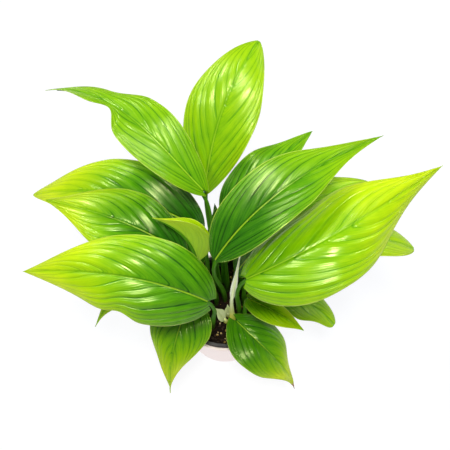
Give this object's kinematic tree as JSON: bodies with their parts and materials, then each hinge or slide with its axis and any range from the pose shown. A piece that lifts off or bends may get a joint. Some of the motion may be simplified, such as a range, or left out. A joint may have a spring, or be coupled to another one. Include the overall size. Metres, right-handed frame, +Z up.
{
  "type": "potted peace lily",
  "caption": "Leafy peace lily with glossy pointed leaves on long stalks, growing in soil in a dark nursery pot inside a pale pink round pot.",
  "frame": {"origin": "middle of the outer pot's flat underside", "axes": "+Z up out of the pot, +X to the right and -Y towards the front of the plant"},
  "size_m": [0.4037, 0.2847, 0.362],
  "materials": {
    "outer_pot": "satin",
    "growing_pot": "satin",
    "soil": "matte",
    "leaf": "gloss",
    "sheath": "satin"
  },
  "bodies": {
    "root": {"outer_pot": "outer_pot", "growing_pot": "growing_pot", "soil": "soil", "leaf_back_tall": "leaf", "leaf_back_left": "leaf", "leaf_left_upper": "leaf", "leaf_left_middle": "leaf", "leaf_left_front": "leaf", "leaf_young_folded": "leaf", "leaf_front_left": "leaf", "leaf_front_right": "leaf", "leaf_right_folded": "leaf", "leaf_right_large": "leaf", "leaf_right_back": "leaf", "leaf_back_right": "leaf", "leaf_right_inner": "leaf", "leaf_right_upper": "leaf", "leaf_right_drooping": "leaf", "leaf_right_front": "leaf", "leaf_left_hooked": "leaf", "leaf_centre_small": "leaf", "leaf_low_back_left": "leaf", "leaf_low_back_right": "leaf", "leaf_low_right": "leaf", "leaf_low_left": "leaf", "young_shoot": "sheath", "sheath_left": "sheath", "sheath_middle": "sheath"}
  },
  "joints": []
}
